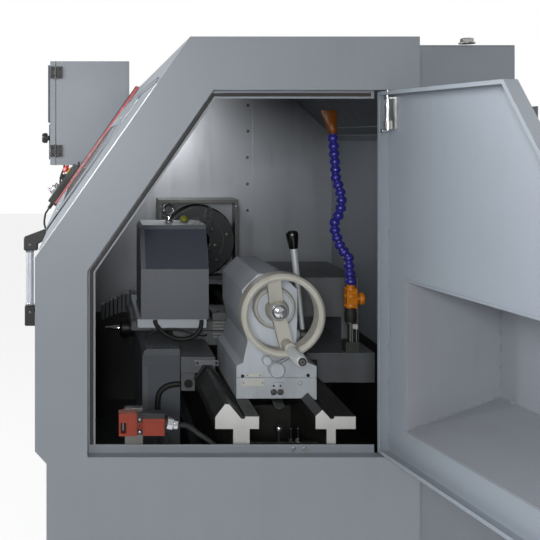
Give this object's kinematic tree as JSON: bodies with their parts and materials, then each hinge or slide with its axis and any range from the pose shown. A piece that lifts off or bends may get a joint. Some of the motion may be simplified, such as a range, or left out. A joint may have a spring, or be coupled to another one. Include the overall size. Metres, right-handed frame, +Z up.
{
  "type": "cnc turning lathe",
  "caption": "Enclosed flat-bed CNC turning lathe with an open end door, tailstock with handwheel, carriage with a covered turret, chuck in a square guard, front door and hand pendant.",
  "frame": {"origin": "floor level, under the spindle axis, at the middle of the enclosure's length", "axes": "+X along the spindle axis from the headstock to the tailstock end, +Y to the rear, +Z up; the operator stands on the -Y side"},
  "size_m": [3.3964, 1.6379, 1.924],
  "materials": {
    "light_paint": "satin",
    "grey_paint": "satin",
    "cast_paint": "semi-gloss, worn",
    "dark_paint": "matt",
    "ground_iron": "ground, oily",
    "stainless": "brushed",
    "turned_steel": "turned",
    "black_plastic": "matt",
    "red_plastic": "gloss",
    "orange_plastic": "gloss",
    "blue_plastic": "gloss",
    "cable_rubber": "matt",
    "window_glass": "clear, tinted"
  },
  "bodies": {
    "machine": {"base": "dark_paint", "bed": "ground_iron", "ball_screw": "turned_steel", "chip_tray": "grey_paint", "end_panel": "light_paint", "rear_wall": "grey_paint", "front_skirt": "light_paint", "front_panel_right": "light_paint", "front_panel_left": "light_paint", "roof": "light_paint", "left_end_cover": "light_paint", "bulkhead": "stainless", "chuck_guard": "stainless", "rear_duct": "grey_paint", "headstock": "cast_paint", "switch_bracket": "stainless", "interlock_switch": "red_plastic", "switch_conduit": "dark_paint", "control_box": "light_paint", "pendant_body": "black_plastic", "pendant_cable": "cable_rubber", "cabinet_box": "light_paint"},
    "spindle_unit": {"spindle": "turned_steel", "chuck_body": "turned_steel"},
    "jaw_1": {"chuck_jaw_1": "turned_steel"},
    "jaw_2": {"chuck_jaw_2": "turned_steel"},
    "jaw_3": {"chuck_jaw_3": "turned_steel"},
    "carriage": {"saddle": "cast_paint", "apron": "cast_paint", "rear_housing": "dark_paint", "coolant_pipe": "turned_steel", "coolant_valve": "orange_plastic", "coolant_hose": "blue_plastic", "hose_nozzle": "orange_plastic"},
    "coolant_knob": {"valve_knob": "orange_plastic"},
    "cross_unit": {"cross_slide": "cast_paint", "turret_base": "cast_paint", "turret_cover": "light_paint"},
    "post": {"tool_post": "dark_paint"},
    "tailstock": {"tailstock_base": "cast_paint", "tailstock_body": "cast_paint"},
    "quill_unit": {"quill": "turned_steel"},
    "wheel": {"handwheel": "cast_paint"},
    "crank": {"crank_handle": "turned_steel"},
    "clamp_lever": {"lock_lever": "black_plastic"},
    "end_door_unit": {"end_door": "light_paint", "end_door_pocket": "stainless", "pin_bracket": "turned_steel", "hinge_spring": "turned_steel"},
    "door_pin": {"hinge_pin": "turned_steel"},
    "front_door_unit": {"front_door": "light_paint", "front_door_window": "window_glass", "handle_bar": "black_plastic", "handle_bracket_upper": "black_plastic", "handle_bracket_lower": "black_plastic"},
    "control_door_unit": {"control_door": "light_paint"},
    "stop_button": {"emergency_stop": "red_plastic"},
    "pulse_wheel": {"pendant_wheel": "turned_steel"},
    "cabinet_door_unit": {"cabinet_door": "light_paint"}
  },
  "joints": [
    {"name": "spindle_spin", "type": "hinge", "parent": "machine", "child": "spindle_unit", "pos_m": [-0.4, 0, 1.13], "axis": [1, 0, 0], "continuous": true},
    {"name": "jaw_1_slide", "type": "slide", "parent": "spindle_unit", "child": "jaw_1", "axis": [0, 0.309, 0.9511], "range_m": [-0.012, 0.012]},
    {"name": "jaw_2_slide", "type": "slide", "parent": "spindle_unit", "child": "jaw_2", "axis": [0, -0.9781, -0.2079], "range_m": [-0.012, 0.012]},
    {"name": "jaw_3_slide", "type": "slide", "parent": "spindle_unit", "child": "jaw_3", "axis": [0, 0.6691, -0.7431], "range_m": [-0.012, 0.012]},
    {"name": "carriage_slide", "type": "slide", "parent": "machine", "child": "carriage", "axis": [1, 0, 0], "range_m": [-0.55, 0.06]},
    {"name": "coolant_valve_turn", "type": "hinge", "parent": "carriage", "child": "coolant_knob", "pos_m": [0.9035, 0.31, 1.1], "axis": [0, 1, 0], "range_deg": [0, 90]},
    {"name": "cross_slide_travel", "type": "slide", "parent": "carriage", "child": "cross_unit", "axis": [0, 1, 0], "range_m": [-0.12, 0.05]},
    {"name": "tool_post_index", "type": "hinge", "parent": "cross_unit", "child": "post", "pos_m": [0.478, -0.2225, 1.1], "axis": [0, 0, 1], "range_deg": [-90, 180]},
    {"name": "tailstock_slide", "type": "slide", "parent": "machine", "child": "tailstock", "axis": [1, 0, 0], "range_m": [-0.1, 0.08]},
    {"name": "quill_slide", "type": "slide", "parent": "tailstock", "child": "quill_unit", "axis": [-1, 0, 0], "range_m": [-0.001, 0.12]},
    {"name": "handwheel_spin", "type": "hinge", "parent": "tailstock", "child": "wheel", "pos_m": [1.2, 0, 1.13], "axis": [1, 0, 0], "range_deg": [-70, 8630]},
    {"name": "crank_spin", "type": "hinge", "parent": "wheel", "child": "crank", "pos_m": [1.2832, 0.01584, 1.04852], "axis": [1, 0, 0], "continuous": true},
    {"name": "lock_lever_turn", "type": "hinge", "parent": "tailstock", "child": "clamp_lever", "pos_m": [0.965, 0.128, 1.01], "axis": [0, 1, 0], "range_deg": [-50, 30]},
    {"name": "end_door_hinge", "type": "hinge", "parent": "machine", "child": "end_door_unit", "pos_m": [1.34, 0.229, 1.2], "axis": [0, 0, 1], "range_deg": [-101.8, 7]},
    {"name": "hinge_pin_slide", "type": "slide", "parent": "end_door_unit", "child": "door_pin", "axis": [0, 0, 1], "range_m": [-0.018, 0], "stiffness_N_per_m": 400, "springref_m": 0.006, "deforming": ["hinge_spring"]},
    {"name": "front_door_slide", "type": "slide", "parent": "machine", "child": "front_door_unit", "axis": [1, 0, 0], "range_m": [0, 0.5]},
    {"name": "control_door_hinge", "type": "hinge", "parent": "machine", "child": "control_door_unit", "pos_m": [-0.58, -0.6253, 1.6], "axis": [0, 0, 1], "range_deg": [0, 100]},
    {"name": "emergency_stop_press", "type": "slide", "parent": "machine", "child": "stop_button", "axis": [0, -0.8192, 0.5735], "range_m": [-0.006, 0]},
    {"name": "pulse_wheel_spin", "type": "hinge", "parent": "machine", "child": "pulse_wheel", "pos_m": [-0.48, -0.61933, 1.33015], "axis": [0, -0.8192, 0.5735], "continuous": true},
    {"name": "cabinet_door_hinge", "type": "hinge", "parent": "machine", "child": "cabinet_door_unit", "pos_m": [-0.246, 0.9006, 1.1], "axis": [0, 0, -1], "range_deg": [0, 110]}
  ],
  "couplings": [
    {"joint": "jaw_2_slide", "follows": "jaw_1_slide", "ratio": 1},
    {"joint": "jaw_3_slide", "follows": "jaw_1_slide", "ratio": 1},
    {"joint": "quill_slide", "follows": "handwheel_spin", "m_per_rad": 0.00079577}
  ]
}
